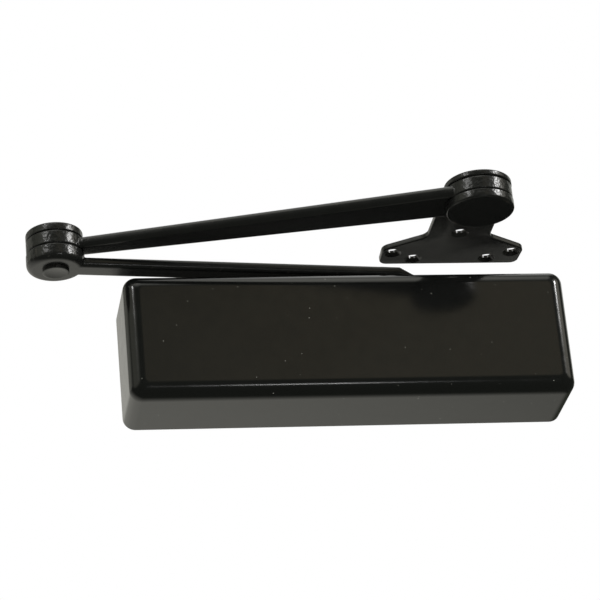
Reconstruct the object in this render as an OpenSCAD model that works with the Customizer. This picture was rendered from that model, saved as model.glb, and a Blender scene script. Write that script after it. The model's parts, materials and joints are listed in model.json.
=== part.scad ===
// Surface-mounted hydraulic door closer with a heavy-duty parallel arm.
// Frame: origin on the door face, at the centre of the four body screw holes.
// +X runs along the door, +Z is up, and -Y points out of the door.

/* [Cover] */
// Length of the cover along the door
cover_l = 324; // [322:0.5:336]
// Height of the cover
cover_h = 96.4; // [95:0.2:104]
// Projection of the cover from the door
cover_d = 60.5; // [60:0.5:66]
// Wall thickness of the cover
cover_wall = 2.5; // [2:0.1:3]
// Radius of the cover's outline corners, seen from the front
cover_corner_r = 9; // [8.5:0.5:14]
// Radius of the rounded edge round the cover's front face
cover_edge_r = 8; // [5:0.5:8.5]

/* [Body] */
// Bore of the cylinder body
bore_r = 19.05; // [19.02:0.01:19.1]
// Outer radius of the barrel
barrel_r = 24; // [23.5:0.1:24.5]
// Horizontal distance between the door screws
screw_span_x = 232; // [224:1:236]
// Vertical distance between the door screws
screw_span_z = 64; // [62:1:66]
// Radius of the door screw holes
door_hole_r = 3.6; // [3.2:0.1:4]

/* [Pinion and piston] */
// Distance of the pinion axis from the middle of the cover
pinion_x = 71; // [69:0.5:72]
// Distance of the pinion axis from the door face
pinion_y = 31; // [30.6:0.1:31.2]
// Number of teeth on the pinion
teeth = 12; // [12:1:12]
// Gear module of the pinion and the rack
gear_module = 1.6; // [1.55:0.05:1.6]
// Pressure angle of the teeth
pressure_angle = 25; // [24:0.5:26]

/* [Arm] */
// Elbow pivot, left of the middle of the cover
elbow_x = -209.6; // [-225:0.2:-205]
// Elbow pivot, distance out of the door
elbow_y = 56.7; // [50:0.1:60]
// Soffit shoe pivot, right of the middle of the cover
shoe_x = 87.3; // [80:0.1:92]
// Soffit shoe pivot, distance out of the door
shoe_y = 131; // [128:0.2:142]
// Height of the main arm's underside above the cover's middle line
arm_z = 53.1; // [52.8:0.1:54]
// Thickness of the main arm's bar
main_t = 7.8; // [7:0.1:8.2]
// Thickness of the main arm's eye at the elbow
main_eye_t = 11.7; // [11:0.1:12.5]
// Width of the main arm
main_w = 17; // [15:0.5:19]
// Thickness of the forearm's eyes
fore_eye_t = 10.1; // [9.6:0.1:11]
// Thickness of the forearm's bar
fore_t = 8.6; // [8:0.1:9.4]
// Width of the forearm's bar at the elbow
fore_w_elbow = 16; // [15:0.5:22]
// Width of the forearm's bar at the shoe
fore_w_shoe = 34.5; // [26:0.5:36]
// Radius of the elbow's eyes
elbow_r = 21; // [19:0.1:22]
// Radius of the shoe's round end, the forearm's eye and the cap
shoe_r = 24.2; // [24:0.1:26]

/* [Shoe] */
// Thickness of the shoe's plate
plate_t = 4.2; // [4:0.1:5]
// Distance from the shoe pivot to the plate's back edge
plate_back = 116; // [115:0.2:120]
// Half width of the plate across its wings
wing_x = 53.5; // [52:0.5:56]
// Distance from the shoe pivot to the wings' front corners
wing_y = 93; // [91:0.5:95]
// Half width of the plate's neck
neck_x = 23.3; // [22:0.1:24]
// Distance from the shoe pivot to the single screw hole
mid_hole_y = 67; // [64:0.5:70]
// Distance from the shoe pivot to the inner pair of holes
inner_hole_y = 107.5; // [105:0.5:108]
// Distance between the two inner holes
inner_span = 56; // [52:1:60]
// Distance from the shoe pivot to the outer pair of holes
outer_hole_y = 98; // [96:0.5:100]
// Distance between the two outer holes
outer_span = 90; // [88:0.5:91]
// Radius of the shoe's screw holes
shoe_hole_r = 4; // [3.4:0.1:4.2]

/* [Hidden] */

$fn = 64;
fit = 0.05;                    // radial running clearance
arc_steps = 6;                 // segments in a rounded corner

bronze = [0.13, 0.12, 0.10];
iron = [0.22, 0.21, 0.20];
steel = [0.62, 0.63, 0.64];
brass = [0.72, 0.58, 0.32];
seal_black = [0.05, 0.05, 0.05];

bore_y = -pinion_y;            // the bore's axis crosses the pinion's
body_left = -152;
body_right = 152;
plug_l = 13;                   // length of an end plug inside the barrel
plug_thread = 7;               // of which the threaded outer end takes this much
hexagon_h = 3;                 // height of the plugs' hexagons
plug_r = 18.9;
thread_r = 21.4;
collar_l = 16;                 // thicker ends of the barrel
collar_r = barrel_r + 1.6;
saddle_h = 34;                 // height of the web between the flange and the barrel
flange_h = 42;
clip_x = body_right - 10;      // cover clips, from the middle of the body
flange_t = 8;                  // thickness of the body's mounting flange
lug_w = 26;
lug_over = 20;                 // the lugs' height beyond the screw span
case_half_x = 27;              // half length of the gear case
case_half_z = 33;              // half height of the gear case

pitch_r = gear_module * teeth / 2;
tip_r = pitch_r + gear_module;
root_r = pitch_r - 1.25 * gear_module;
base_r = pitch_r * cos(pressure_angle);
rack_pitch = PI * gear_module;
backlash = 0.12;               // taken off each tooth's thickness
gear_half_z = 16;              // half length of the toothed part of the shaft
journal_r = 9.5;
bearing_r = 13;
bearing_t = 6.5;
cap_r = 15.4;                  // the pinion's bottom cap and bearing nut
cap_bore_r = 15.5;             // their threads in the gear case
cap_depth = 4;                 // how deep the bottom cap goes in
nut_depth = 7;                 // how deep the nut goes in
shaft_top = 51.6;
square_drive = 13.4;           // across the flats of the shaft's square end

slot_x0 = pinion_x - tip_r - 1.6;
slot_x1 = slot_x0 + 2 * tip_r + pitch_r * PI + 4;
slot_front = 12.4;             // piston slot, from the pinion's axis to its plain wall
slot_back = pitch_r + 1.25 * gear_module + 0.4;
piston_r = bore_r - fit;
piston_x0 = slot_x0 - 24;
piston_x1 = slot_x1 + 20;
ring_w = 2;
ring_x = [piston_x0 + 8, piston_x1 - 10];

seat_t = 3;
spring_x1 = piston_x0 - seat_t;
spring_x0 = -118;
spring_turns = 12.5;
spring_r = 15.4;               // to the middle of the wire
wire_r = 2.8;
spring_plate_t = 8;

valve_z = -28.5;
valve_x = [102, 114, 126];
valve_block_x = [92, 135];
valve_block_z = [-35, -12];
valve_front = 46;              // distance of the valve heads from the door
valve_r = 3.5;
valve_l = 22;
filler_x = -60;
filler_r = 3.95;
screw_r = 4;                   // the adjusting screw
thread_l = 56;                 // length of its thread

hub_r = 15;
hub_z0 = 39.8;
hub_z1 = 51.8;
drop_bottom = 49;              // underside of the arm half way down its drop to the hub
arm_washer_t = 1;
notch_r = 20.5;                // the cover's opening round the hub

washer_t = 0.5;
main_top = arm_z + main_eye_t;
fore_z0 = main_top + washer_t;
fore_z1 = fore_z0 + fore_eye_t;
plate_z0 = fore_z1 + washer_t;
plate_z1 = plate_z0 + plate_t;
shoe_cap_t = 6.5;
elbow_cap_t = 6.1;
pin_r = 8;
bush_r = 10;

pinion_at = [pinion_x, -pinion_y, 0];
elbow_at = [elbow_x, -elbow_y, 0];
shoe_at = [shoe_x, -shoe_y, 0];

// ---------- helpers ----------

function unit(v) = v / norm(v);
function turned(v, a) = [v.x * cos(a) - v.y * sin(a), v.x * sin(a) + v.y * cos(a)];

// Points of the arc of radius r that rounds the corner b between a and c.
function corner_arc(a, b, c, r) =
    let (u = unit(a - b), v = unit(c - b), half = acos(u * v) / 2)
    let (centre = b + unit(u + v) * r / sin(half), start = b + u * r / tan(half) - centre)
    let (sweep = (180 - 2 * half) * (cross(u, v) > 0 ? -1 : 1))
    [for (i = [0:arc_steps]) centre + turned(start, sweep * i / arc_steps)];

// A closed outline from [x, y, corner radius] points.
function rounded(path) =
    let (n = len(path), at = [for (p = path) [p.x, p.y]])
    [for (i = [0:n - 1])
        each path[i].z > 0
            ? corner_arc(at[(i + n - 1) % n], at[i], at[(i + 1) % n], path[i].z)
            : [at[i]]];

function rounded_box(w, h, r) =
    rounded([[-w / 2, -h / 2, r], [w / 2, -h / 2, r], [w / 2, h / 2, r], [-w / 2, h / 2, r]]);

// Quarter-circle points about c from angle a0 to a1.
function quarter(c, r, a0, a1) =
    [for (i = [0:arc_steps]) let (a = a0 + (a1 - a0) * i / arc_steps) c + r * [cos(a), sin(a)]];

// A round disc from z0 to z1 with rounded lower and upper edges.
module puck(r, z0, z1, low_r, high_r) {
    profile = concat(
        [[0, z0]],
        low_r > 0 ? quarter([r - low_r, z0 + low_r], low_r, -90, 0) : [[r, z0]],
        high_r > 0 ? quarter([r - high_r, z1 - high_r], high_r, 0, 90) : [[r, z1]],
        [[0, z1]]);
    rotate_extrude() polygon(profile);
}

module ring(r_out, r_in, h) {
    difference() {
        cylinder(r = r_out, h = h);
        translate([0, 0, -1]) cylinder(r = r_in, h = h + 2);
    }
}

// An O-ring of wire radius w whose section's centre lies at radius r.
module o_ring(r, w) rotate_extrude() translate([r, 0]) circle(r = w, $fn = 24);

// Children drawn along +Z are laid along +X.
module along_x() rotate([0, 90, 0]) children();

// Children drawn along +Z are laid along +Y, from the front towards the door.
module from_front() rotate([-90, 0, 0]) children();

// ---------- cover ----------

// The cover's outer or inner form: one rounded block open to the door.
module cover_form(l, h, d, corner_r, edge_r, reach) {
    hull()
        for (sx = [-1, 1], sz = [-1, 1])
            translate([sx * (l / 2 - corner_r), reach, sz * (h / 2 - corner_r)])
                rotate([90, 0, 0])
                    puck(corner_r, 0, d + reach, 0, edge_r, $fn = 32);
}

module cover() {
    rib_t = 1.8;
    rib_x = 118;
    rib_from = 37;             // ribs reach from here to the top and bottom walls
    rib_depth = 24;
    inner_h = cover_h / 2 - cover_wall;
    notch_from = cover_h / 2 - 8;
    color(bronze) {
        difference() {
            cover_form(cover_l, cover_h, cover_d, cover_corner_r, cover_edge_r, 0);
            cover_form(cover_l - 2 * cover_wall, cover_h - 2 * cover_wall, cover_d - cover_wall,
                cover_corner_r - cover_wall, cover_edge_r - cover_wall, 1);
            translate([pinion_x, -pinion_y, notch_from]) cylinder(r = notch_r, h = 20);
            translate([pinion_x - notch_r, -pinion_y, notch_from]) cube([2 * notch_r, pinion_y + 5, 20]);
        }
        // stiffening ribs behind the front wall
        for (sx = [-1, 1], sz = [0, 1])
            mirror([0, 0, sz])
                translate([sx * rib_x - rib_t / 2, -cover_d + cover_wall - 0.5, rib_from])
                    cube([rib_t, rib_depth, inner_h - rib_from + 0.5]);
    }
}

// ---------- body ----------

module mounting_flange() {
    rotate([90, 0, 0]) linear_extrude(flange_t)
        polygon(rounded_box(screw_span_x + 44, flange_h, 6));
    for (sx = [-1, 1])
        translate([sx * screw_span_x / 2, 0, 0]) rotate([90, 0, 0]) linear_extrude(flange_t)
            polygon(rounded_box(lug_w, screw_span_z + lug_over, 9));
}

module body_casting() {
    case_front = 51.5;
    barrel_l = body_right - body_left;
    color(iron) difference() {
        union() {
            translate([body_left, bore_y, 0]) along_x() cylinder(r = barrel_r, h = barrel_l);
            mounting_flange();
            // saddle between the flange and the barrel
            translate([body_left + 14, bore_y, -saddle_h / 2])
                cube([barrel_l - 28, pinion_y - 1, saddle_h]);
            // gear case
            translate([pinion_x, 0, -case_half_z]) linear_extrude(2 * case_half_z)
                polygon(rounded([[-case_half_x, -2, 0], [-case_half_x, -case_front, 8],
                    [case_half_x, -case_front, 8], [case_half_x, -2, 0]]));
            // valve block under the barrel's right end
            translate([0, -20, 0]) rotate([90, 0, 0]) linear_extrude(valve_front - 20)
                polygon(rounded([
                    [valve_block_x[0], valve_block_z[0], 4], [valve_block_x[1], valve_block_z[0], 4],
                    [valve_block_x[1], valve_block_z[1], 0], [valve_block_x[0], valve_block_z[1], 0]]));
            // collars round the barrel's ends
            for (x = [body_left, body_right - collar_l])
                translate([x, bore_y, 0]) along_x() cylinder(r = collar_r, h = collar_l);
        }
        translate([body_left - 1, bore_y, 0]) along_x() cylinder(r = bore_r, h = barrel_l + 2);
        // wider threaded mouths for the two end plugs
        for (x = [body_left - 1, body_right - plug_thread - 0.2])
            translate([x, bore_y, 0]) along_x() cylinder(r = thread_r + 0.1, h = plug_thread + 1.2);
        // pinion bearings, nut and bottom cap
        translate(pinion_at + [0, 0, -case_half_z - 1]) {
            cylinder(r = bearing_r + fit, h = 2 * case_half_z + 2);
            cylinder(r = cap_bore_r, h = cap_depth + 1);
        }
        translate(pinion_at + [0, 0, case_half_z - nut_depth]) cylinder(r = cap_bore_r, h = nut_depth + 1);
        // door screw holes
        for (sx = [-1, 1], sz = [-1, 1])
            translate([sx * screw_span_x / 2, -flange_t - 1, sz * screw_span_z / 2])
                from_front() cylinder(r = door_hole_r, h = flange_t + 2);
        // valve seats
        for (x = valve_x)
            translate([x, -valve_front - 1, valve_z])
                from_front() cylinder(r = valve_r + fit, h = 1 + valve_l);
        // filler hole
        translate([filler_x, bore_y, 0]) rotate([90, 0, 0]) cylinder(r = filler_r + fit, h = 30);
        // clip screw holes in the end collars
        for (sx = [-1, 1], sz = [0, 1])
            mirror([0, 0, sz]) translate([sx * clip_x, bore_y, collar_r - 3.4]) cylinder(r = 1.5, h = 6);
    }
}

// A threaded plug, drawn from its inner end at z = 0 to its hexagon at the outer end.
module end_plug(hole_r, socket_r) {
    color(steel) difference() {
        union() {
            cylinder(r = plug_r, h = 2);
            translate([0, 0, 2]) cylinder(r = plug_r - 1.6, h = 2.6);
            translate([0, 0, 4.6]) cylinder(r = plug_r, h = plug_l - plug_thread - 4.6);
            translate([0, 0, plug_l - plug_thread]) cylinder(r = thread_r, h = plug_thread);
            translate([0, 0, plug_l]) cylinder(r = 15, h = hexagon_h, $fn = 6);
        }
        if (hole_r > 0) translate([0, 0, -1]) cylinder(r = hole_r, h = plug_l + hexagon_h + 2);
        if (socket_r > 0) translate([0, 0, plug_l - 4]) cylinder(r = socket_r, h = hexagon_h + 5, $fn = 6);
    }
}

module end_plug_left()
    translate([body_left + plug_l, bore_y, 0]) rotate([0, -90, 0]) end_plug(screw_r + fit, 0);

module end_plug_right()
    translate([body_right - plug_l, bore_y, 0]) along_x() end_plug(0, 7);

module plug_seals() {
    color(seal_black)
        for (x = [body_left + plug_l - 3.3, body_right - plug_l + 3.3])
            translate([x, bore_y, 0]) along_x() o_ring(plug_r - 0.75, 0.84);
}

module bearing(z0) {
    color(steel) translate(pinion_at + [0, 0, z0]) ring(bearing_r, journal_r + fit, bearing_t);
}

module pinion_bearing_lower() bearing(-case_half_z + cap_depth + 1);
module pinion_bearing_upper() bearing(bore_r + 0.3);

module pinion_bottom_cap() {
    over = 1.5;
    color(steel) translate(pinion_at + [0, 0, -case_half_z - over]) difference() {
        cylinder(r = cap_r, h = cap_depth - 0.1 + over);
        translate([0, 0, -1]) cylinder(r = 6, h = 3.6, $fn = 6);
    }
}

module pinion_nut() {
    color(steel) translate(pinion_at) difference() {
        union() {
            translate([0, 0, case_half_z - nut_depth + 0.1]) cylinder(r = cap_r, h = nut_depth);
            translate([0, 0, case_half_z]) cylinder(r = 17.5, h = 5.4, $fn = 6);
        }
        translate([0, 0, case_half_z - 8]) cylinder(r = journal_r + fit, h = 20);
        translate([0, 0, case_half_z + 1.6]) cylinder(r = 12.5, h = 6);
    }
}

module shaft_seal() {
    color(seal_black) translate(pinion_at + [0, 0, case_half_z + 1.6]) ring(12.4, journal_r + fit, 3.2);
}

module filler_screw() {
    color(steel) translate([filler_x, bore_y - bore_r - 1, 0]) rotate([90, 0, 0]) difference() {
        union() {
            cylinder(r = filler_r, h = 4);
            translate([0, 0, 4]) cylinder(r = 6, h = 1.6);
        }
        translate([0, 0, 2.6]) cylinder(r = 2.3, h = 5, $fn = 6);
    }
}

// Spring-steel strip that grips the cover's inner face, drawn for the upper right end of the body.
module clip_strip() {
    reach = cover_h / 2 - cover_wall - 0.1;
    profile = rounded([[-5, collar_r, 0], [5, collar_r, 0], [5, collar_r + 1, 0.4], [-4, collar_r + 1, 0.4],
        [-4, reach - 2.3, 1.5], [-1, reach - 0.3, 1], [4, reach - 4.3, 0], [4.6, reach - 3.5, 0],
        [-1, reach, 0.6], [-5, reach - 1.8, 1.5]]);
    translate([clip_x, bore_y, 0]) difference() {
        translate([0, 6, 0]) rotate([90, 0, 0]) linear_extrude(12) polygon(profile);
        cylinder(r = 1.6, h = collar_r + 2);
    }
}

module cover_clips() {
    color(steel)
        for (mx = [0, 1], mz = [0, 1]) mirror([mx, 0, 0]) mirror([0, 0, mz]) clip_strip();
}

module clip_screws() {
    color(steel)
        for (mx = [0, 1], mz = [0, 1])
            mirror([mx, 0, 0]) mirror([0, 0, mz]) translate([clip_x, bore_y, 0]) {
                translate([0, 0, collar_r - 3]) cylinder(r = 1.45, h = 4.2);
                translate([0, 0, collar_r + 1]) puck(2.8, 0, 1.8, 0, 0.8);
            }
}

// A regulating valve: hexagon socket at the front, sealing groove and a needle at the back.
module valve(x) {
    color(brass) translate([x, -valve_front, valve_z]) from_front() difference() {
        union() {
            cylinder(r = valve_r, h = 6);
            translate([0, 0, 6]) cylinder(r = 2.4, h = 1.8);
            translate([0, 0, 7.8]) cylinder(r = valve_r, h = 8);
            translate([0, 0, 15.8]) cylinder(r1 = 2.4, r2 = 0.6, h = 5);
        }
        translate([0, 0, -1]) cylinder(r = 1.8, h = 4.5, $fn = 6);
    }
}

module valve_seal(x) {
    color(seal_black) translate([x, -valve_front + 6.9, valve_z]) from_front() o_ring(2.95, 0.5);
}

module sweep_valve() valve(valve_x[0]);
module latch_valve() valve(valve_x[1]);
module backcheck_valve() valve(valve_x[2]);
module sweep_valve_seal() valve_seal(valve_x[0]);
module latch_valve_seal() valve_seal(valve_x[1]);
module backcheck_valve_seal() valve_seal(valve_x[2]);

// ---------- spring and piston ----------

module adjusting_screw() {
    head_x = body_left - hexagon_h - 0.4;
    neck_x0 = body_left + 7;
    neck_x1 = neck_x0 + 2;
    stop_x = body_left + plug_l + 0.4;
    color(steel) translate([0, bore_y, 0]) {
        translate([head_x - 3, 0, 0]) along_x() difference() {
            cylinder(r = 6.2, h = 3, $fn = 6);
            translate([0, 0, -1]) cylinder(r = 2.5, h = 2.6, $fn = 6);
        }
        translate([head_x, 0, 0]) along_x() cylinder(r = screw_r, h = neck_x0 - head_x);
        translate([neck_x0, 0, 0]) along_x() cylinder(r = screw_r - 1.1, h = neck_x1 - neck_x0);
        translate([neck_x1, 0, 0]) along_x() cylinder(r = screw_r, h = thread_l);
        // shoulder that keeps the screw from being pulled out
        translate([stop_x, 0, 0]) along_x() cylinder(r = 6.5, h = 2.2);
    }
}

module adjusting_screw_seal() {
    color(seal_black) translate([body_left + 8, bore_y, 0]) along_x() o_ring(screw_r - 0.55, 0.5);
}

module spring_plate() {
    color(steel) translate([spring_x0 - spring_plate_t, bore_y, 0]) along_x() {
        ring(18.6, screw_r + fit, spring_plate_t);
        translate([0, 0, spring_plate_t]) ring(11.6, screw_r + fit, 6);
    }
}

// The wire's centre at parameter t from 0 to 1. The end coils lie almost flat.
function coil_x(t) =
    let (flat = 0.09, lie = 2 * wire_r + 0.15, l = spring_x1 - spring_x0 - 2 * wire_r - 0.4)
    let (ramp = l - 2 * lie)
    0.2 + wire_r + (t < flat ? lie * t / flat : t > 1 - flat ? l - lie * (1 - t) / flat
        : lie + ramp * (t - flat) / (1 - 2 * flat));

module closing_spring() {
    sides = 8;
    steps = round(spring_turns * 20);
    points = [for (i = [0:steps], k = [0:sides - 1])
        let (t = i / steps, turn = 360 * spring_turns * t, a = 360 * k / sides)
        let (r = spring_r + wire_r * cos(a))
        [spring_x0 + coil_x(t) + wire_r * sin(a), r * cos(turn), r * sin(turn)]];
    skin = [for (i = [0:steps - 1], k = [0:sides - 1])
        let (m = (k + 1) % sides, a = i * sides)
        [a + k, a + m, a + sides + m, a + sides + k]];
    ends = [[for (k = [sides - 1:-1:0]) k], [for (k = [0:sides - 1]) steps * sides + k]];
    color(steel) translate([0, bore_y, 0]) polyhedron(points, concat(skin, ends));
}

module spring_seat() {
    color(steel) translate([spring_x1, bore_y, 0]) along_x() {
        cylinder(r = 18.6, h = seat_t);
        translate([0, 0, -6]) cylinder(r = 11.6, h = 6.1);
    }
}

// One rack tooth about x = 0: its tip points at the pinion, towards -Y from the pitch line.
function rack_tooth() =
    let (up = gear_module * 0.92, down = gear_module * 1.25, slope = tan(pressure_angle))
    let (half = rack_pitch / 4 - backlash / 2)
    let (tip = half - up * slope, foot = half + down * slope)
    [[tip, -up], [foot, down], [-foot, down], [-tip, -up]];

module rack() {
    half_z = 14;
    for (k = [-2:8])
        translate([pinion_x + k * rack_pitch, bore_y + pitch_r, -half_z])
            linear_extrude(2 * half_z) polygon(rack_tooth());
}

module piston() {
    wall_back = slot_back - 0.4;
    piston_l = piston_x1 - piston_x0;
    color(steel) {
        difference() {
            translate([piston_x0, bore_y, 0]) along_x() cylinder(r = piston_r, h = piston_l);
            translate([slot_x0, bore_y - slot_front, -25])
                cube([slot_x1 - slot_x0, slot_front + wall_back, 50]);
            // check valve in the right-hand head
            translate([slot_x1 - 1, bore_y, 0]) along_x() cylinder(r = 2, h = 30);
            translate([piston_x1 - 12, bore_y, 0]) along_x() cylinder(r = 4.2, h = 13);
            // ring grooves
            for (x = ring_x)
                translate([x, bore_y, 0]) along_x() ring(30, piston_r - 1.3, ring_w);
        }
        intersection() {
            rack();
            translate([piston_x0, bore_y, 0]) along_x() cylinder(r = piston_r - 0.3, h = piston_l);
        }
    }
}

module piston_rings() {
    color(iron)
        for (x = ring_x)
            translate([x + 0.05, bore_y, 0]) along_x() ring(piston_r, piston_r - 1.25, ring_w - 0.1);
}

module check_ball() color(steel) translate([piston_x1 - 8.6, bore_y, 0]) sphere(r = 3.2);

module check_ball_retainer() {
    color(steel) translate([piston_x1 - 4, bore_y, 0]) along_x() ring(4.15, 1.8, 2);
}

// ---------- pinion ----------

function involute(a) = base_r * [cos(a) + a * PI / 180 * sin(a), sin(a) - a * PI / 180 * cos(a)];
function roll_at(r) = sqrt(pow(r / base_r, 2) - 1) * 180 / PI;

// Half the angle that a tooth spans at the pitch circle, less the backlash.
tooth_half = 90 / teeth - backlash / 2 / pitch_r * 180 / PI;
flank_turn = tooth_half + roll_at(pitch_r) - atan(roll_at(pitch_r) * PI / 180);

// One flank from the base circle to the tip, for a tooth centred on angle 0.
function flank() =
    [for (i = [0:5]) turned(involute(roll_at(tip_r) * i / 5), -flank_turn)];

function gear_outline() = [for (k = [0:teeth - 1]) each
    let (mid = 360 / teeth * (k + 0.5) + 90, right = flank())
    concat(
        [turned(root_r * [cos(flank_turn), -sin(flank_turn)], mid)],
        [for (p = right) turned(p, mid)],
        [for (i = [5:-1:0]) turned([right[i].x, -right[i].y], mid)],
        [turned(root_r * [cos(flank_turn), sin(flank_turn)], mid)])];

module pinion_shaft() {
    shaft_bottom = -case_half_z + 4.2;
    color(steel) translate(pinion_at) difference() {
        union() {
            translate([0, 0, -gear_half_z]) linear_extrude(2 * gear_half_z) polygon(gear_outline());
            translate([0, 0, shaft_bottom]) cylinder(r = journal_r, h = -gear_half_z - shaft_bottom);
            translate([0, 0, gear_half_z]) cylinder(r = journal_r, h = hub_z0 - 0.2 - gear_half_z);
            rotate([0, 0, main_angle]) translate([-square_drive / 2, -square_drive / 2, hub_z0 - 1])
                cube([square_drive, square_drive, shaft_top - hub_z0 + 1]);
        }
        translate([0, 0, shaft_top - 18]) cylinder(r = 4, h = 20);
    }
}

// ---------- main arm ----------

main_dir = [elbow_x - pinion_x, -elbow_y + pinion_y];
main_l = norm(main_dir);
main_angle = atan2(main_dir.y, main_dir.x);

// A thin slice of a bar's rounded section at distance u along the arm.
module bar_slice(u, w, z0, z1, r)
    translate([u, 0, (z0 + z1) / 2]) along_x() linear_extrude(0.02, center = true)
        polygon(rounded_box(z1 - z0, w, r));

module main_arm() {
    knee = 27;                 // where the bar starts to drop to the hub
    drop = 17.6;               // half way down
    drop_w = main_w + 1;
    hub_w = 22;
    bar_top = arm_z + main_t;
    drop_top = bar_top - 6;
    hub_bore = square_drive + 2 * fit;
    color(bronze) translate(pinion_at) rotate([0, 0, main_angle]) difference() {
        union() {
            puck(hub_r, hub_z0, hub_z1, 0.8, 1.6);
            translate([main_l, 0, 0]) puck(elbow_r, arm_z, main_top, 4.5, 0.6);
            hull() {
                bar_slice(knee, main_w, arm_z, bar_top, 3);
                bar_slice(main_l - 8, main_w, arm_z, bar_top, 3);
            }
            hull() {
                bar_slice(knee, main_w, arm_z, bar_top, 3);
                bar_slice(drop, drop_w, drop_bottom, drop_top, 2.8);
            }
            hull() {
                bar_slice(drop, drop_w, drop_bottom, drop_top, 2.8);
                bar_slice(9, hub_w, hub_z0 + 0.5, hub_z1, 1.5);
            }
        }
        translate([-hub_bore / 2, -hub_bore / 2, hub_z0 - 1]) cube([hub_bore, hub_bore, 14]);
        translate([main_l, 0, arm_z - 1]) cylinder(r = pin_r, h = main_eye_t + 2);
    }
}

module arm_washer() color(steel) translate(pinion_at + [0, 0, hub_z1]) ring(9, 4.1, arm_washer_t);

module arm_screw() {
    head_z = hub_z1 + arm_washer_t;
    color(steel) translate(pinion_at) {
        translate([0, 0, shaft_top - 16]) cylinder(r = 3.95, h = head_z + 0.1 - shaft_top + 16);
        difference() {
            translate([0, 0, head_z]) puck(7, 0, 2.6, 0, 1);
            translate([0, 0, head_z + 1]) cylinder(r = 2.9, h = 3, $fn = 6);
        }
    }
}

// The rivet has a low round head under the main arm and carries the cap on top.
module elbow_pin() {
    head_h = 2.4;
    color(bronze) translate(elbow_at) {
        puck(9.6, arm_z - head_h, arm_z, 1, 0);
        translate([0, 0, arm_z - 0.1]) cylinder(r = pin_r, h = plate_z0 + 3.1 - arm_z);
    }
}

module elbow_cap() {
    color(bronze) translate(elbow_at) difference() {
        puck(elbow_r - 0.4, plate_z0, plate_z0 + elbow_cap_t, 0.6, 1.8);
        translate([0, 0, plate_z0 - 1]) cylinder(r = pin_r, h = 4);
    }
}

// ---------- forearm ----------

fore_dir = [shoe_x - elbow_x, -shoe_y + elbow_y];
fore_l = norm(fore_dir);
fore_angle = atan2(fore_dir.y, fore_dir.x);

module forearm() {
    low = fore_z0 + 0.2;       // the bar lies near the eyes' lower faces
    high = low + fore_t;
    color(bronze) translate(elbow_at) rotate([0, 0, fore_angle]) difference() {
        union() {
            puck(elbow_r - 0.4, fore_z0, fore_z1, 0.8, 0.8);
            translate([fore_l, 0, 0]) puck(shoe_r - 0.3, fore_z0, fore_z1, 0.8, 0.8);
            hull() {
                bar_slice(12, fore_w_elbow, low, high, 3.5);
                bar_slice(fore_l - 14, fore_w_shoe, low, high, 3.5);
            }
        }
        for (u = [0, fore_l]) translate([u, 0, fore_z0 - 1]) cylinder(r = bush_r, h = fore_eye_t + 2);
    }
}

module bush() {
    color(brass) translate([0, 0, fore_z0]) ring(bush_r, pin_r + fit, fore_eye_t);
}
module elbow_bush() translate(elbow_at) bush();
module shoe_bush() translate(shoe_at) bush();

module washer_pair(r) {
    color(seal_black) for (z = [main_top, fore_z1]) translate([0, 0, z]) ring(r, pin_r + fit, washer_t);
}
module elbow_washers() translate(elbow_at) washer_pair(elbow_r - 1.8);
module shoe_washers() translate(shoe_at) washer_pair(shoe_r - 1.6);

// ---------- shoe ----------

function shoe_outline() =
    let (right = [
        [neck_x, 0, 0], [neck_x, wing_y - 19.6, 9],
        [wing_x, wing_y, 8], [wing_x - 1, plate_back, 6]])
    concat(right, [for (i = [3:-1:0]) [-right[i].x, right[i].y, right[i].z]]);

shoe_holes = concat([[0, mid_hole_y]],
    [for (s = [-1, 1]) [s * inner_span / 2, inner_hole_y]],
    [for (s = [-1, 1]) [s * outer_span / 2, outer_hole_y]]);

module shoe_plate() {
    sink_r = 6.5;
    sink_h = 2.5;
    color(bronze) translate(shoe_at) difference() {
        union() {
            puck(shoe_r, plate_z0, plate_z1, 0.8, 1);
            translate([0, 0, plate_z0]) linear_extrude(plate_t) polygon(rounded(shoe_outline()));
        }
        translate([0, 0, plate_z0 - 1]) cylinder(r = pin_r, h = plate_t + 2);
        for (at = shoe_holes) translate([at.x, at.y, plate_z0]) {
            translate([0, 0, -1]) cylinder(r = shoe_hole_r, h = plate_t + 2);
            translate([0, 0, -0.01]) cylinder(r1 = sink_r, r2 = shoe_hole_r, h = sink_h);
        }
    }
}

// The pin is flush with the plate's top and is hidden by the cap below.
module shoe_pin() {
    pin_z0 = main_top - 3;
    color(bronze) translate(shoe_at + [0, 0, pin_z0]) cylinder(r = pin_r, h = plate_z1 - pin_z0);
}

module shoe_cap() {
    color(bronze) translate(shoe_at) difference() {
        puck(shoe_r, main_top - shoe_cap_t, main_top, 1.2, 0.6);
        translate([0, 0, main_top - 3]) cylinder(r = pin_r, h = 4);
    }
}

cover();
body_casting();
end_plug_left();
end_plug_right();
plug_seals();
pinion_bearing_lower();
pinion_bearing_upper();
pinion_bottom_cap();
pinion_nut();
shaft_seal();
filler_screw();
cover_clips();
clip_screws();
sweep_valve();
latch_valve();
backcheck_valve();
sweep_valve_seal();
latch_valve_seal();
backcheck_valve_seal();
adjusting_screw();
adjusting_screw_seal();
spring_plate();
closing_spring();
piston();
piston_rings();
spring_seat();
check_ball();
check_ball_retainer();
pinion_shaft();
main_arm();
arm_washer();
arm_screw();
elbow_pin();
elbow_cap();
forearm();
elbow_bush();
shoe_bush();
elbow_washers();
shoe_washers();
shoe_plate();
shoe_pin();
shoe_cap();
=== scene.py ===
"""Looks of the door closer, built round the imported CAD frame.

Metres. +X runs along the door, +Y into it, +Z up, and the closer's front faces -Y.
"""
import json
import math

import bmesh
import bpy
from mathutils import Matrix, Vector


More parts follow.
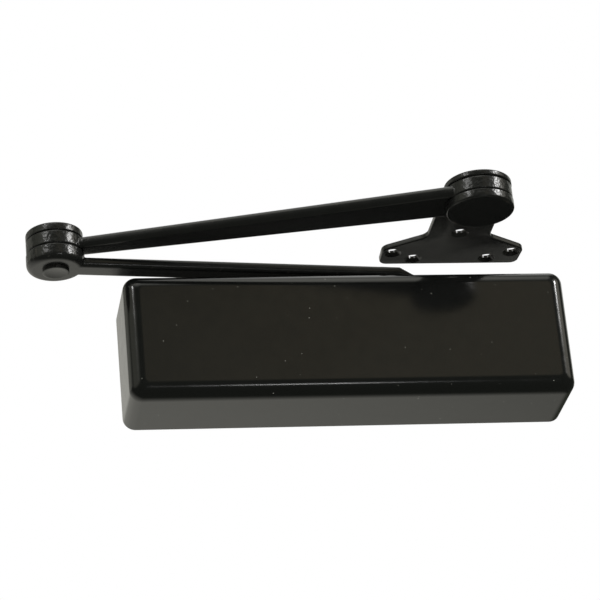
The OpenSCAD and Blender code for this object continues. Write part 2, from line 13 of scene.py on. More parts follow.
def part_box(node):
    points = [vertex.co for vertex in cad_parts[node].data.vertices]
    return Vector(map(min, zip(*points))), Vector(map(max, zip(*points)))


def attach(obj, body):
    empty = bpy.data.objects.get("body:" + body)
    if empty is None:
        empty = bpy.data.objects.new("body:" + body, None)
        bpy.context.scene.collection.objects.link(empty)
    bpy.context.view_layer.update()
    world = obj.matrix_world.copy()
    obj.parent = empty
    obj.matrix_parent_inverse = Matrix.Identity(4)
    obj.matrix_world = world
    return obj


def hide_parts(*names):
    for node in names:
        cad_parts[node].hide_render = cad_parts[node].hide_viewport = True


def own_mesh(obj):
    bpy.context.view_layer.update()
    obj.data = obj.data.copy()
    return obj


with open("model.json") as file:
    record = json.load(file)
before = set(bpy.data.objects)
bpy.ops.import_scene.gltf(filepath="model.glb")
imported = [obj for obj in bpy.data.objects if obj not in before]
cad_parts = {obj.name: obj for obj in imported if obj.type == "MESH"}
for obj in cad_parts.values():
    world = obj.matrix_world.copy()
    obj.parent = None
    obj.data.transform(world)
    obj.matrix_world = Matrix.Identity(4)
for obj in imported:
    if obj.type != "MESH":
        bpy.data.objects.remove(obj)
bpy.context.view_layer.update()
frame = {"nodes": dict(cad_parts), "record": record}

MM = 0.001

# ---------- sizes, in millimetres, that the boxes of the CAD nodes don't give ----------
COVER_WALL = 2.5
COVER_CORNER = 9.0        # radius of the cover's outline at its back rim
COVER_FACE_CORNER = 3.0   # radius of the outline of the flat front face
COVER_EDGE = 11.2         # reach of the rounding between the front face and the walls
COVER_SOFTNESS = 2.12     # exponent of that rounding: 2 is a circle, more is fuller
COVER_NOTCH = 20.5        # radius of the opening round the arm's hub
RIM_ROUND = 0.3           # rounding of the cover's back rim
CORNER_STEPS = 10         # points on each corner of the cover's outline
RIB_X = 118               # stiffening ribs inside the cover, from its middle
RIB_T = 1.8
RIB_FROM = 37             # height at which a rib begins
RIB_DEPTH = 24
RIB_SUNK = 0.4            # how far a rib reaches into the walls that it stands on
RIB_CUT = 4.0             # bevel of its corner under the cover's rounded edge
PIN_R = 8.0               # pins of the elbow and the shoe
BUSH_R = 10.0             # bushes in the forearm's eyes, outside
HUB_R = 15.0              # the main arm's hub on the pinion
HUB_T = 12.0
SQUARE = 13.5             # across the flats of the pinion's square
MAIN_EYE_R = 21.0
MAIN_EYE_EDGE = 4.5       # rounding under the main arm's eye
ELBOW_EYE_R = 20.6        # the forearm's eyes
SHOE_EYE_R = 23.9
BAR_W = 17.0              # the main arm's bar
BAR_T = 7.8
FORE_BAR_T = 8.6          # the forearm's bar
FORE_W = (16.0, 34.5)     # its width at the elbow and at the shoe
PLATE_NECK = 23.3         # half the width of the shoe plate's neck
PLATE_SIDE = ((23.3, 73.4, 9), (53.5, 93, 8), (52.5, 116, 6))     # its right side: x, y, corner radius
PLATE_HOLES = ((0, 67), (-28, 107.5), (28, 107.5), (-45, 98), (45, 98))     # x, y from the pivot
PLATE_BEVEL = 0.9
HOLE_R = 4.0
SINK_R = 6.5              # countersinks of the plate's holes
SINK_DEPTH = 2.5
RIVET_HEAD_R = 9.6
RIVET_HEAD_H = 2.4
WIRE_R = 2.8
SPRING_R = 15.4           # from the coil's axis to the middle of the wire
SPRING_TURNS = 12.5
SPRING_END = 0.09         # share of the coil's turns that lies flat at each end
PIN_IN_CAP = 3            # depth of the caps' bores for their pins
BORE_PLAY = 0.02          # by which bores clear their pins and bushes
PAST = 2                  # by which cutters reach past what they cut
CASTING_VOXEL = 0.45
BOSS_INSIDE = 22          # the arms' paint is lumpy within this distance of a pivot
BOSS_OUTSIDE = 32         # and smooth beyond this one


# ---------- mesh helpers; they take millimetres ----------

def scene_object(name, mesh):
    thing = bpy.data.objects.new(name, mesh)
    bpy.context.scene.collection.objects.link(thing)
    return thing


def to_mesh(name, points, faces):
    """A mesh object in metres from points in millimetres, with its faces turned outwards."""
    mesh = bpy.data.meshes.new(name)
    mesh.from_pydata([[c * MM for c in p] for p in points], [], faces)
    solid = bmesh.new()
    solid.from_mesh(mesh)
    bmesh.ops.recalc_face_normals(solid, faces=solid.faces)
    solid.to_mesh(mesh)
    solid.free()
    return scene_object(name, mesh)


def apply_modifiers(thing):
    view = bpy.context.evaluated_depsgraph_get()
    mesh = bpy.data.meshes.new_from_object(thing.evaluated_get(view))
    thing.modifiers.clear()
    old = thing.data
    thing.data = mesh
    bpy.data.meshes.remove(old)


def remove(thing):
    bpy.data.objects.remove(thing)


def join(name, things):
    """One object that holds the meshes of several."""
    solid = bmesh.new()
    for thing in things:
        solid.from_mesh(thing.data)
        remove(thing)
    mesh = bpy.data.meshes.new(name)
    solid.to_mesh(mesh)
    solid.free()
    return scene_object(name, mesh)


def cut(thing, *tools):
    for tool in tools:
        modifier = thing.modifiers.new("cut", "BOOLEAN")
        modifier.operation = "DIFFERENCE"
        modifier.solver = "EXACT"
        modifier.object = tool
    apply_modifiers(thing)
    for tool in tools:
        remove(tool)


def shade(thing, sharp_degrees=38):
    thing.data.shade_smooth()
    thing.data.set_sharp_from_angle(angle=math.radians(sharp_degrees))


def arc(cx, cy, r, start, end, steps):
    turn = [math.radians(start + (end - start) * i / steps) for i in range(steps + 1)]
    return [(cx + r * math.cos(a), cy + r * math.sin(a)) for a in turn]


def rounded_rectangle(w, h, r, steps):
    corners = ((1, 1, 0), (-1, 1, 90), (-1, -1, 180), (1, -1, 270))
    return [p for sx, sy, a in corners
            for p in arc(sx * (w / 2 - r), sy * (h / 2 - r), r, a, a + 90, steps)]


def rounded_corner(before, at, after, r, steps):
    """Points of the arc of radius r that rounds a corner of an outline."""
    at = Vector(at)
    u = (Vector(before) - at).normalized()
    v = (Vector(after) - at).normalized()
    half = u.angle(v) / 2
    centre = at + (u + v).normalized() * (r / math.sin(half))
    start = at + u * (r / math.tan(half)) - centre
    turn = (math.pi - 2 * half) * (-1 if u.cross(v) > 0 else 1)
    return [tuple(centre + Matrix.Rotation(turn * i / steps, 2) @ start) for i in range(steps + 1)]


def skin(loops):
    """Points and faces of the skin over loops of equal length, closed at both ends."""
    n = len(loops[0])
    last = (len(loops) - 1) * n
    faces = [[a + i, a + (i + 1) % n, a + n + (i + 1) % n, a + n + i]
             for a in range(0, last, n) for i in range(n)]
    faces += [list(range(n)), list(range(last, last + n))]
    return [p for loop in loops for p in loop], faces


def lathe(name, profile, at=(0, 0), steps=128):
    """A solid turned about an upright axis from (radius, height) points, with flat ends."""
    angles = [2 * math.pi * i / steps for i in range(steps)]
    loops = [[(at[0] + r * math.cos(a), at[1] + r * math.sin(a), z) for a in angles]
             for r, z in profile]
    return to_mesh(name, *skin(loops))


def disc_profile(r, z0, z1, low, high, steps=8):
    """Side of a disc with rounded edges, with a loop just inside each edge to keep the faces flat."""
    flat = 0.25
    points = [(r - low - flat, z0)]
    points += arc(r - low, z0 + low, low, -90, 0, steps)
    points += arc(r - high, z1 - high, high, 0, 90, steps)
    points += [(r - high - flat, z1)]
    return points


def disc(name, r, z0, z1, low, high, at=(0, 0)):
    return lathe(name, disc_profile(r, z0, z1, low, high), at)


def bar(name, sections, steps=5):
    """A bar along X lofted through rounded sections (x, width, z0, z1, corner radius)."""
    loops = []
    for x, width, z0, z1, r in sections:
        outline = rounded_rectangle(width, z1 - z0, r, steps)
        loops.append([(x, y, z + (z0 + z1) / 2) for y, z in outline])
    return to_mesh(name, *skin(loops))


def prism(name, outline, z0, z1):
    return to_mesh(name, *skin([[(x, y, z) for x, y in outline] for z in (z0, z1)]))


def block(name, low, high):
    outline = [(low[0], low[1]), (high[0], low[1]), (high[0], high[1]), (low[0], high[1])]
    return prism(name, outline, low[2], high[2])


def drill(r, z0, z1, at=(0, 0)):
    return lathe("drill", [(r, z0), (r, z1)], at)


def fuse(name, shells, rounds):
    """Melts overlapping shells into one casting whose inner corners are softly filled."""
    thing = join(name, shells)
    askew = Matrix.Rotation(math.radians(30), 4, "Z")      # keeps the bars off the voxels' rows
    thing.data.transform(askew)
    remesh = thing.modifiers.new("fuse", "REMESH")
    remesh.mode = "VOXEL"
    remesh.voxel_size = 1 * CASTING_VOXEL * MM
    smooth = thing.modifiers.new("soften", "SMOOTH")
    smooth.factor = 0.5
    smooth.iterations = rounds
    apply_modifiers(thing)
    thing.data.transform(askew.inverted())
    return thing


def place(thing, x, y, angle):
    """Turns a piece drawn about the origin and moves it to a pivot, in its mesh."""
    thing.data.transform(Matrix.Translation((x * MM, y * MM, 0)) @ Matrix.Rotation(angle, 4, "Z"))


def box_mm(node):
    low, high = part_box(node)
    return low / MM, high / MM


def centre_xy(node):
    low, high = box_mm(node)
    return ((low.x + high.x) / 2, (low.y + high.y) / 2)


# ---------- node materials ----------

def material(name, colour, roughness, metallic=0.0, ior=1.5):
    """A principled material and the shortcuts that its details are built with."""
    made = bpy.data.materials.new(name)
    made.use_nodes = True
    shader = made.node_tree.nodes["Principled BSDF"]
    shader.inputs["Base Color"].default_value = (*colour, 1)
    shader.inputs["Roughness"].default_value = roughness
    shader.inputs["Metallic"].default_value = metallic
    shader.inputs["IOR"].default_value = ior
    return made, made.node_tree, shader


def node(tree, kind, **values):
    made = tree.nodes.new(kind)
    for key, value in values.items():
        if key in made.inputs:
            made.inputs[key].default_value = value
        else:
            setattr(made, key, value)
    return made


def noise(tree, size_mm, detail=3, stretch=(1, 1, 1)):
    """Noise between about 0.25 and 0.75 whose grain is size_mm across, fixed to the piece."""
    where = node(tree, "ShaderNodeTexCoord")
    scale = node(tree, "ShaderNodeMapping", Scale=stretch)
    made = node(tree, "ShaderNodeTexNoise", Scale=1 / (size_mm * MM), Detail=detail)
    tree.links.new(where.outputs["Object"], scale.inputs["Vector"])
    tree.links.new(scale.outputs["Vector"], made.inputs["Vector"])
    return made.outputs["Fac"]


def spread(tree, factor, low, high, from_low=0.3, from_high=0.7, smooth=False):
    made = node(tree, "ShaderNodeMapRange", clamp=True)
    if smooth:
        made.interpolation_type = "SMOOTHSTEP"
    ends = {"From Min": from_low, "From Max": from_high, "To Min": low, "To Max": high}
    for name, value in ends.items():
        made.inputs[name].default_value = value
    tree.links.new(factor, made.inputs["Value"])
    return made.outputs["Result"]


def blend_colours(tree, factor, first, second):
    made = node(tree, "ShaderNodeMix", data_type="RGBA")
    tree.links.new(factor, made.inputs["Factor"])
    for socket, value in (("A", first), ("B", second)):
        end = [s for s in made.inputs if s.name == socket and s.type == "RGBA"][0]
        if isinstance(value, tuple):
            end.default_value = (*value, 1)
        else:
            tree.links.new(value, end)
    return [s for s in made.outputs if s.type == "RGBA"][0]


def add_bump(tree, shader, *heights):
    """Stacks bumps of (height socket, depth in mm) on the shader's normal."""
    normal = None
    for height, depth_mm in heights:
        made = node(tree, "ShaderNodeBump", Strength=1.0, Distance=depth_mm * MM)
        tree.links.new(height, made.inputs["Height"])
        if normal:
            tree.links.new(normal, made.inputs["Normal"])
        normal = made.outputs["Normal"]
    tree.links.new(normal, shader.inputs["Normal"])


def specks(tree, spacing_mm, size):
    """1 on a few small dots that lie about spacing_mm apart, and 0 elsewhere."""
    where = node(tree, "ShaderNodeTexCoord")
    cells = node(tree, "ShaderNodeTexVoronoi", Scale=1 / (spacing_mm * MM), Randomness=1.0)
    tree.links.new(where.outputs["Object"], cells.inputs["Vector"])
    return spread(tree, cells.outputs["Distance"], 1, 0, size * 0.5, size)


def edge_wear(tree):
    """1 on sharp outer edges of a mesh, and 0 on its faces."""
    geometry = node(tree, "ShaderNodeNewGeometry")
    return spread(tree, geometry.outputs["Pointiness"], 0, 1, 0.53, 0.60)


def moulded_plastic():
    made, tree, shader = material("cover_plastic", (0.005, 0.0056, 0.0052), 0.15)
    tone = blend_colours(tree, noise(tree, 70, 2), (0.0048, 0.0054, 0.0050), (0.0058, 0.0060, 0.0055))
    dusty = blend_colours(tree, specks(tree, 8, 0.05), tone, (0.32, 0.32, 0.28))
    tree.links.new(dusty, shader.inputs["Base Color"])
    tree.links.new(spread(tree, noise(tree, 9), 0.12, 0.18), shader.inputs["Roughness"])
    add_bump(tree, shader, (noise(tree, 2.2, 2), 0.006), (noise(tree, 45, 1), 0.05))
    return made


def near_pivots(tree, *nodes):
    """1 round the upright pivot of each CAD node named, and 0 beyond the eye there."""
    where = node(tree, "ShaderNodeTexCoord")
    flat = node(tree, "ShaderNodeVectorMath", operation="MULTIPLY")
    tree.links.new(where.outputs["Object"], flat.inputs[0])
    flat.inputs[1].default_value = (1, 1, 0)
    total = None
    for name in nodes:
        x, y = centre_xy(name)
        away = node(tree, "ShaderNodeVectorMath", operation="DISTANCE")
        tree.links.new(flat.outputs["Vector"], away.inputs[0])
        away.inputs[1].default_value = (x * MM, y * MM, 0)
        ends = (BOSS_INSIDE * MM, BOSS_OUTSIDE * MM)
        close = spread(tree, away.outputs["Value"], 1, 0, *ends, smooth=True)
        if total:
            both = node(tree, "ShaderNodeMath", operation="MAXIMUM")
            tree.links.new(total, both.inputs[0])
            tree.links.new(close, both.inputs[1])
            close = both.outputs["Value"]
        total = close
    return total


def times(tree, first, second):
    made = node(tree, "ShaderNodeMath", operation="MULTIPLY")
    for end, value in zip(made.inputs, (first, second)):
        tree.links.new(value, end)
    return made.outputs["Value"]


def arm_paint():
    made, tree, shader = material("arm_paint", (0.006, 0.0056, 0.005), 0.25)
    tone = blend_colours(tree, noise(tree, 12, 4), (0.0052, 0.0056, 0.0053), (0.0075, 0.0078, 0.0070))
    worn = blend_colours(tree, edge_wear(tree), tone, (0.020, 0.018, 0.015))
    tree.links.new(worn, shader.inputs["Base Color"])
    geometry = node(tree, "ShaderNodeNewGeometry")
    split = node(tree, "ShaderNodeSeparateXYZ")
    tree.links.new(geometry.outputs["True Normal"], split.inputs["Vector"])
    upright = node(tree, "ShaderNodeMath", operation="ABSOLUTE")
    tree.links.new(split.outputs["Z"], upright.inputs[0])
    side = spread(tree, upright.outputs["Value"], 1.0, 0.0, 0.2, 0.9)
    boss = times(tree, side, near_pivots(tree, "elbow_cap", "shoe_cap"))
    rough = node(tree, "ShaderNodeMath", operation="MULTIPLY_ADD")
    tree.links.new(boss, rough.inputs[0])
    rough.inputs[1].default_value = 0.04
    tree.links.new(spread(tree, noise(tree, 6), 0.20, 0.26), rough.inputs[2])
    tree.links.new(rough.outputs["Value"], shader.inputs["Roughness"])
    lumps = times(tree, noise(tree, 3.2, 2), boss)
    grain = noise(tree, 1.1, 3)
    add_bump(tree, shader, (lumps, 0.42), (grain, 0.006), (noise(tree, 26, 1), 0.04))
    return made


def cast_iron():
    made, tree, shader = material("cast_body", (0.05, 0.048, 0.045), 0.5, 0.35)
    tone = blend_colours(tree, noise(tree, 16, 5), (0.035, 0.033, 0.031), (0.075, 0.072, 0.067))
    worn = blend_colours(tree, edge_wear(tree), tone, (0.22, 0.21, 0.20))
    tree.links.new(worn, shader.inputs["Base Color"])
    tree.links.new(spread(tree, noise(tree, 6), 0.42, 0.65), shader.inputs["Roughness"])
    add_bump(tree, shader, (noise(tree, 1.1, 4), 0.09), (noise(tree, 12, 2), 0.15))
    return made


def bright_metal(name, dark, light, rough, grain=(1, 1, 1), grain_mm=1.0, depth_mm=0.01):
    """Machined or drawn metal: grain stretched along the tool marks, a little uneven in tone."""
    made, tree, shader = material(name, light, rough, 1.0)
    tone = blend_colours(tree, noise(tree, 8, 4), dark, light)
    tree.links.new(tone, shader.inputs["Base Color"])
    marks = noise(tree, grain_mm, 3, grain)
    tree.links.new(spread(tree, marks, rough * 0.8, rough * 1.35), shader.inputs["Roughness"])
    add_bump(tree, shader, (marks, depth_mm))
    return made


def soft_polymer(name, dark, light, rough):
    made, tree, shader = material(name, light, rough)
    tone = blend_colours(tree, noise(tree, 4, 3), dark, light)
    tree.links.new(tone, shader.inputs["Base Color"])
    tree.links.new(spread(tree, noise(tree, 2), rough * 0.85, rough * 1.2), shader.inputs["Roughness"])
    add_bump(tree, shader, (noise(tree, 0.6, 2), 0.01))
    return made


# The dark and the light tone of each metal and polymer.
STEEL = ((0.34, 0.34, 0.34), (0.52, 0.52, 0.51))
SPRING_STEEL = ((0.10, 0.10, 0.11), (0.22, 0.22, 0.23))
ZINC = ((0.42, 0.42, 0.40), (0.60, 0.60, 0.57))
BRASS = ((0.50, 0.34, 0.13), (0.72, 0.53, 0.24))
BRONZE = ((0.40, 0.24, 0.11), (0.56, 0.36, 0.18))
RUBBER = ((0.010, 0.010, 0.010), (0.022, 0.022, 0.021))
NYLON = ((0.010, 0.010, 0.009), (0.018, 0.018, 0.017))

FINISHES = {
    "cover_plastic": moulded_plastic(),
    "arm_paint": arm_paint(),
    "cast_body": cast_iron(),
    "steel": bright_metal("steel", *STEEL, 0.26, (1, 1, 8)),
    "spring_steel": bright_metal("spring_steel", *SPRING_STEEL, 0.34, (6, 1, 1)),
    "zinc_steel": bright_metal("zinc_steel", *ZINC, 0.32, (1, 1, 1), 2.5, 0.02),
    "brass": bright_metal("brass", *BRASS, 0.24, (1, 6, 1)),
    "bronze_bush": bright_metal("bronze_bush", *BRONZE, 0.36, (1, 1, 6)),
    "seal_rubber": soft_polymer("seal_rubber", *RUBBER, 0.55),
    "washer_plastic": soft_polymer("washer_plastic", *NYLON, 0.42),
}


def dress(thing, slot_name, body, *nodes):
    """Gives a finished piece its material and its body, and hides the CAD nodes that it stands for."""
    thing.data.materials.clear()
    thing.data.materials.append(FINISHES[slot_name])
    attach(thing, body)
    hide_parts(*nodes)


for part in frame["record"]["subparts"]:
    carried = frame["nodes"][part["node"]]
    carried.data.materials.clear()
    carried.data.materials.append(FINISHES[part["material_slot"]])


# ---------- cover ----------

def cover_loops(size, wall, face_corner, steps=14):
    """Loops from the back of the cover's skin, set in by wall, to its front face.

    The outline's corners tighten as the edge rounds over. A loop just inside each end of
    the rounding keeps the flat faces flat.
    """
    w, h, depth = size.x - 2 * wall, size.z - 2 * wall, size.y - wall
    corner, edge = COVER_CORNER - wall, COVER_EDGE - wall
    guard = 0.6                             # distance of those loops from the rounding
    loops = []

    def add(inset, y, r):
        outline = rounded_rectangle(w - 2 * inset, h - 2 * inset, r, CORNER_STEPS)
        loops.append([(x, -y, z) for x, z in outline])

    add(0, RIM_ROUND, corner)
    add(0, RIM_ROUND + 0.4, corner)
    add(0, depth - edge - guard, corner)
    for i in range(steps + 1):
        a = math.pi / 2 * i / steps
        inset = edge * (1 - math.cos(a) ** (2 / COVER_SOFTNESS)) if i < steps else edge
        reach = edge * (1 - math.sin(a) ** (2 / COVER_SOFTNESS))
        add(inset, depth - reach, corner + (face_corner - corner) * inset / edge)
    add(edge + guard, depth, max(face_corner - 0.4, 0.2))
    return loops


def build_cover():
    low, high = box_mm("cover")
    size = high - low
    outer = cover_loops(size, 0, COVER_FACE_CORNER)
    inner = cover_loops(size, COVER_WALL, COVER_FACE_CORNER - 1)
    rims = []
    for inset in (RIM_ROUND, COVER_WALL - RIM_ROUND):
        rim = rounded_rectangle(size.x - 2 * inset, size.z - 2 * inset, COVER_CORNER - inset, CORNER_STEPS)
        rims.append([(x, 0, z) for x, z in rim])
    shell = to_mesh("cover_shell", *skin(outer[::-1] + rims + inner))
    px, py = centre_xy("pinion_shaft")
    top = high.z
    behind, below, above = 6, 8, 5          # how far the cutter reaches past the top wall
    outline = [(px + COVER_NOTCH, behind), (px - COVER_NOTCH, behind)]
    outline += arc(px, py, COVER_NOTCH, 180, 360, 40)
    cut(shell, prism("notch", outline, top - below, top + above))
    ribs = []
    front = low.y + COVER_WALL - RIB_SUNK
    rib_to = top - COVER_WALL + RIB_SUNK
    for sx in (-1, 1):
        for sz in (-1, 1):
            x = sx * RIB_X
            profile = [(front, RIB_FROM), (front + RIB_DEPTH, RIB_FROM), (front + RIB_DEPTH, rib_to),
                       (front + RIB_CUT, rib_to), (front, rib_to - RIB_CUT)]
            sides = [[(x + t, y, sz * z) for y, z in profile] for t in (-RIB_T / 2, RIB_T / 2)]
            ribs.append(to_mesh("rib", *skin(sides)))
    cover = join("cover_moulding", [shell] + ribs)
    shade(cover, 50)
    dress(cover, "cover_plastic", "cover", "cover")


# ---------- arms ----------

def build_main_arm():
    px, py = centre_xy("pinion_shaft")
    ex, ey = centre_xy("elbow_cap")
    low, high = box_mm("main_arm")
    length = math.hypot(ex - px, ey - py)
    eye_low = box_mm("elbow_pin")[0].z + RIVET_HEAD_H
    hub_top = low.z + HUB_T
    hub_edge, half_way, knee, bar_end = 9, 17.6, 27, length - 8       # along the arm
    sections = [
        (hub_edge, 22, low.z + 0.5, hub_top, 1.5),
        (half_way, BAR_W + 1, eye_low - 4.1, eye_low + BAR_T - 6, 2.8),
        (knee, BAR_W, eye_low, eye_low + BAR_T, 3),
        (bar_end, BAR_W, eye_low, eye_low + BAR_T, 3),
    ]
    shells = [
        disc("hub", HUB_R, low.z, hub_top, 0.8, 1.6),
        disc("eye", MAIN_EYE_R, eye_low, high.z, MAIN_EYE_EDGE, 0.5, (length, 0)),
        bar("bar", sections),
    ]
    arm = fuse("main_arm_casting", shells, 6)
    half = SQUARE / 2
    cut(arm, drill(PIN_R + 0.03, eye_low - PAST, high.z + PAST, (length, 0)),
        block("square", (-half, -half, low.z - PAST), (half, half, hub_top + PAST)))
    place(arm, px, py, math.atan2(ey - py, ex - px))
    shade(arm, 50)
    dress(arm, "arm_paint", "main_arm", "main_arm")


def build_forearm():
    ex, ey = centre_xy("elbow_cap")
    sx, sy = centre_xy("shoe_cap")
    low, high = box_mm("forearm")
    length = math.hypot(sx - ex, sy - ey)
    bar_low = low.z + 0.2
    bar_high = bar_low + FORE_BAR_T
    sections = [(x, width, bar_low, bar_high, 3.5) for x, width in zip((12, length - 14), FORE_W)]
    shells = [
        disc("eye", ELBOW_EYE_R, low.z, high.z, 0.7, 0.7),
        disc("eye", SHOE_EYE_R, low.z, high.z, 0.7, 0.7, (length, 0)),
        bar("bar", sections),
    ]
    arm = fuse("forearm_casting", shells, 5)
    cut(arm, *[drill(BUSH_R + BORE_PLAY, low.z - PAST, high.z + PAST, (u, 0)) for u in (0, length)])
    place(arm, ex, ey, math.atan2(sy - ey, sx - ex))
    shade(arm, 50)
    dress(arm, "arm_paint", "forearm", "forearm")


def build_elbow_cap():
    low, high = box_mm("elbow_cap")
    r = (high.x - low.x) / 2
    profile = disc_profile(r, low.z, high.z, 0.6, 1.8)
    cap = lathe("elbow_cap_turned", profile, centre_xy("elbow_cap"))
    cut(cap, drill(PIN_R + BORE_PLAY, low.z - 1, low.z + PIN_IN_CAP, centre_xy("elbow_cap")))
    shade(cap)
    dress(cap, "arm_paint", "main_arm", "elbow_cap")


def build_rivet():
    """The elbow's rivet: a low head with a turned edge, and the pin that rises from it."""
    low, high = box_mm("elbow_pin")
    head_top = low.z + RIVET_HEAD_H
    edge, rim_w, dish = 0.7, 2.0, 0.12
    profile = [(RIVET_HEAD_R - rim_w - 0.4, low.z + dish), (RIVET_HEAD_R - rim_w, low.z)]
    profile += arc(RIVET_HEAD_R - edge, low.z + edge, edge, -90, 0, 6)
    profile += [(RIVET_HEAD_R, head_top), (PIN_R, head_top), (PIN_R, high.z - 0.2), (PIN_R - 0.3, high.z)]
    rivet = lathe("elbow_rivet", profile, centre_xy("elbow_pin"))
    shade(rivet)
    dress(rivet, "arm_paint", "main_arm", "elbow_pin")


# ---------- shoe ----------

def plate_outline(neck, side, r):
    """Round front end, neck and wings of the shoe's plate, about its pivot."""
    rise = math.degrees(math.acos(neck / r))
    right = [(neck, 8, 0), *side]
    left = [(-x, y, c) for x, y, c in reversed(right)]
    path = right + left
    points = arc(0, 0, r, 180 - rise, 360 + rise, 48)
    for i, (x, y, c) in enumerate(path):
        if c:
            points += rounded_corner(path[i - 1][:2], (x, y), path[i + 1][:2], c, 8)
    return points


def build_shoe_plate():
    low, high = box_mm("shoe_plate")
    cap_low, cap_high = box_mm("shoe_cap")
    at = centre_xy("shoe_cap")
    r = (cap_high.x - cap_low.x) / 2
    plate = prism("shoe_plate_casting", plate_outline(PLATE_NECK, PLATE_SIDE, r), low.z, high.z)
    bevel = plate.modifiers.new("edges", "BEVEL")
    bevel.width = PLATE_BEVEL * MM
    bevel.segments = 4
    bevel.limit_method = "ANGLE"
    bevel.angle_limit = math.radians(60)
    apply_modifiers(plate)
    tools = [drill(PIN_R + BORE_PLAY, low.z - PAST, high.z + PAST)]
    for hole in PLATE_HOLES:
        sink = [(SINK_R + 0.4, low.z - 0.4), (HOLE_R, low.z + SINK_DEPTH), (HOLE_R, high.z + 1)]
        tools.append(lathe("sink", sink, hole, 64))
    cut(plate, *tools)
    place(plate, *at, 0)
    shade(plate, 42)
    dress(plate, "arm_paint", "shoe", "shoe_plate")


def build_shoe_cap():
    low, high = box_mm("shoe_cap")
    at = centre_xy("shoe_cap")
    cap = lathe("shoe_cap_turned", disc_profile((high.x - low.x) / 2, low.z, high.z, 1.3, 0.6), at)
    cut(cap, drill(PIN_R + BORE_PLAY, high.z - PIN_IN_CAP, high.z + 1, at))
    shade(cap)
    dress(cap, "arm_paint", "shoe", "shoe_cap")


# ---------- closing spring ----------

def build_spring():
    """A round-wire coil whose end turns lie flat."""
    low, high = box_mm("closing_spring")
    axis_y, axis_z = (low.y + high.y) / 2, (low.z + high.z) / 2
    steps = round(SPRING_TURNS * 48)
    wire_steps = 16
    lie = 2 * WIRE_R + 0.15                 # length of the flat turns at each end
    length = high.x - low.x - 2 * WIRE_R
    ramp = length - 2 * lie
    loops = []
    for i in range(steps + 1):
        t = i / steps
        if t < SPRING_END:
            along = lie * t / SPRING_END
        elif t > 1 - SPRING_END:
            along = length - lie * (1 - t) / SPRING_END
        else:
            along = lie + ramp * (t - SPRING_END) / (1 - 2 * SPRING_END)
        turn = 2 * math.pi * SPRING_TURNS * t
        loop = []
        for k in range(wire_steps):
            a = 2 * math.pi * k / wire_steps
            r = SPRING_R + WIRE_R * math.cos(a)
            x = low.x + WIRE_R + along + WIRE_R * math.sin(a)
            loop.append((x, axis_y + r * math.cos(turn), axis_z + r * math.sin(turn)))
        loops.append(loop)
    spring = to_mesh("spring_coil", *skin(loops))
    shade(spring)
    dress(spring, "spring_steel", "closer_body", "closing_spring")
    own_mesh(spring)


build_cover()
build_main_arm()
build_forearm()
build_elbow_cap()
build_rivet()
build_shoe_plate()
build_shoe_cap()
build_spring()


# ---------- floor, light and camera ----------

def build_floor():
    """A wide pale floor well below the closer. Reflections see the softboxes in its place."""
    half, height = 40, -2.8
    corners = [(x * half, y * half, height) for x, y in ((-1, -1), (1, -1), (1, 1), (-1, 1))]
    mesh = bpy.data.meshes.new("floor")
    mesh.from_pydata(corners, [], [(0, 1, 2, 3)])
    floor = scene_object("floor", mesh)
    made, tree, shader = material("floor_paper", (0.86, 0.86, 0.85), 0.9)
    tone = blend_colours(tree, noise(tree, 400, 2), (0.85, 0.85, 0.84), (0.88, 0.88, 0.87))
    tree.links.new(tone, shader.inputs["Base Color"])
    mesh.materials.append(made)
    floor.visible_glossy = False


def direction(azimuth, elevation):
    """Azimuth 0 points to the front, 90 to the right; elevation is above the horizon."""
    a, e = math.radians(azimuth), math.radians(elevation)
    return Vector((math.sin(a) * math.cos(e), -math.cos(a) * math.cos(e), math.sin(e)))


# Softboxes that reflections see. Each has its azimuth and elevation, the angles from there
# within which it is full and beyond which it is gone, all in degrees, its strength and its colour.
SOFTBOXES = (
    (15, 26, 2, 12, 0.40, (1.0, 0.86, 0.62)),       # front, a little warm
    (66, 27, 8, 24, 1.2, (1.0, 0.95, 0.82)),        # right
    (-60, 26, 12, 36, 0.45, (1.0, 1.0, 0.84)),      # left
    (-5, 62, 8, 30, 1.5, (1.0, 1.0, 0.92)),         # overhead, towards the front
    (-119, 26, 8, 22, 0.5, (1.0, 1.0, 0.88)),       # behind the left
    (139, 26, 6, 20, 0.8, (1.0, 1.0, 0.94)),        # behind the right
    (185, 70, 14, 34, 1.1, (1.0, 1.0, 0.98)),       # overhead, towards the back
    (207, -24, 10, 58, 0.78, (1.0, 0.98, 0.90)),    # pale table behind and below
    (191, 26, 8, 22, 0.45, (1.0, 0.98, 0.92)),      # behind, low
)
SURROUNDINGS = (0.055, 0.060, 0.045)     # what reflections see between the softboxes
ROOM = 0.95                              # even light on matt surfaces

# Name, azimuth, elevation, width, height (metres) and power of the lamps.
LAMPS = (
    ("lower_strip", 8.5, -14, 0.2, 0.06, 1.2),
    ("left_key", -44, 32, 0.12, 0.3, 4),
    ("right_key", 54, 30, 0.16, 0.3, 14),
)

VIEW_AZIMUTH = -10.661
VIEW_ELEVATION = -25.639
VIEW_ROLL = -5.406
VIEW_DISTANCE = 2.154
VIEW_SHIFT = (-0.0371, 0.022)            # of the camera to its right and up, in metres


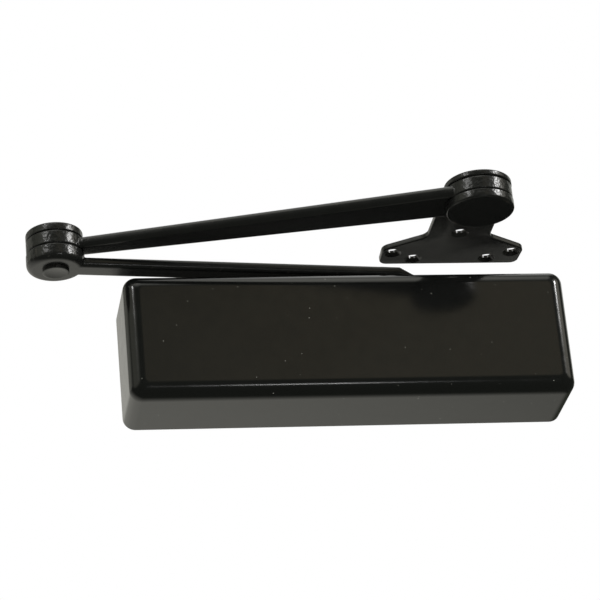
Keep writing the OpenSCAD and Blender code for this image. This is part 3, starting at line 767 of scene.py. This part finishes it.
def build_world():
    """White for the camera, even soft light for matt surfaces, and softboxes for gloss."""
    world = bpy.data.worlds.new("studio")
    bpy.context.scene.world = world
    world.use_nodes = True
    world.cycles.sampling_method = "NONE"
    tree = world.node_tree
    tree.nodes.clear()
    where = node(tree, "ShaderNodeTexCoord")
    total = None
    for azimuth, elevation, full, gone, strength, colour in SOFTBOXES:
        along = node(tree, "ShaderNodeVectorMath", operation="DOT_PRODUCT")
        tree.links.new(where.outputs["Generated"], along.inputs[0])
        along.inputs[1].default_value = direction(azimuth, elevation)
        ends = (math.cos(math.radians(gone)), math.cos(math.radians(full)))
        soft = spread(tree, along.outputs["Value"], 0, strength, *ends, smooth=True)
        tinted = node(tree, "ShaderNodeVectorMath", operation="SCALE")
        tinted.inputs["Vector"].default_value = colour
        tree.links.new(soft, tinted.inputs["Scale"])
        plus = node(tree, "ShaderNodeVectorMath", operation="ADD")
        tree.links.new(tinted.outputs["Vector"], plus.inputs[0])
        if total:
            tree.links.new(total, plus.inputs[1])
        else:
            plus.inputs[1].default_value = SURROUNDINGS
        total = plus.outputs["Vector"]
    boxes = node(tree, "ShaderNodeBackground", Strength=1.0)
    tree.links.new(total, boxes.inputs["Color"])
    room = node(tree, "ShaderNodeBackground", Color=(1, 1, 1, 1), Strength=ROOM)
    backdrop = node(tree, "ShaderNodeBackground", Color=(1, 1, 1, 1), Strength=1.0)
    rays = node(tree, "ShaderNodeLightPath")
    lit = node(tree, "ShaderNodeMixShader")
    tree.links.new(rays.outputs["Is Glossy Ray"], lit.inputs[0])
    tree.links.new(room.outputs[0], lit.inputs[1])
    tree.links.new(boxes.outputs[0], lit.inputs[2])
    seen = node(tree, "ShaderNodeMixShader")
    tree.links.new(rays.outputs["Is Camera Ray"], seen.inputs[0])
    tree.links.new(lit.outputs[0], seen.inputs[1])
    tree.links.new(backdrop.outputs[0], seen.inputs[2])
    out = node(tree, "ShaderNodeOutputWorld")
    tree.links.new(seen.outputs[0], out.inputs["Surface"])


def soft_lamp(name, azimuth, elevation, width, height, power, distance=2.0):
    """A soft rectangle of light turned to the closer; it shows only as a reflection."""
    lamp = bpy.data.lights.new(name, "AREA")
    lamp.shape = "RECTANGLE"
    lamp.size = width
    lamp.size_y = height
    lamp.energy = power
    thing = scene_object(name, lamp)
    back = direction(azimuth, elevation)
    thing.location = back * distance
    thing.rotation_mode = "QUATERNION"
    thing.rotation_quaternion = back.to_track_quat("Z", "Y")
    thing.visible_camera = False


def build_black_card():
    """Stands for the shade between the shoe and the cover; only reflections see it."""
    low, high = box_mm("shoe_plate")
    mesh = bpy.data.meshes.new("black_card")
    left, right, behind, bottom, top = low.x - 20, high.x + 50, 50, 10, 62
    corners = [(x, behind, z) for x, z in ((left, bottom), (right, bottom), (right, top), (left, top))]
    mesh.from_pydata([[c * MM for c in p] for p in corners], [], [(0, 1, 2, 3)])
    card = scene_object("black_card", mesh)
    mesh.materials.append(material("black_card", (0.24, 0.24, 0.22), 1.0)[0])
    card.visible_camera = False
    card.visible_diffuse = False
    card.visible_shadow = False


def build_camera():
    """The closer seen from below and from its left, at the photograph's angle."""
    back = direction(VIEW_AZIMUTH, VIEW_ELEVATION)
    level = direction(VIEW_AZIMUTH + 90, 0)
    right = Matrix.Rotation(math.radians(VIEW_ROLL), 3, back) @ level
    up = back.cross(right)
    target = Vector((0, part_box("cover")[0].y, 0))
    shift = right * VIEW_SHIFT[0] + up * VIEW_SHIFT[1]
    lens = bpy.data.cameras.new("camera")
    lens.lens = 180
    lens.sensor_width = 36
    lens.clip_end = 200
    camera = scene_object("camera", lens)
    turn = Matrix((right, up, back)).transposed().to_4x4()
    camera.matrix_world = Matrix.Translation(target + back * VIEW_DISTANCE + shift) @ turn
    bpy.context.scene.camera = camera


bpy.context.scene.view_settings.view_transform = "Standard"
build_floor()
build_world()
build_black_card()
for lamp in LAMPS:
    soft_lamp(*lamp)
build_camera()
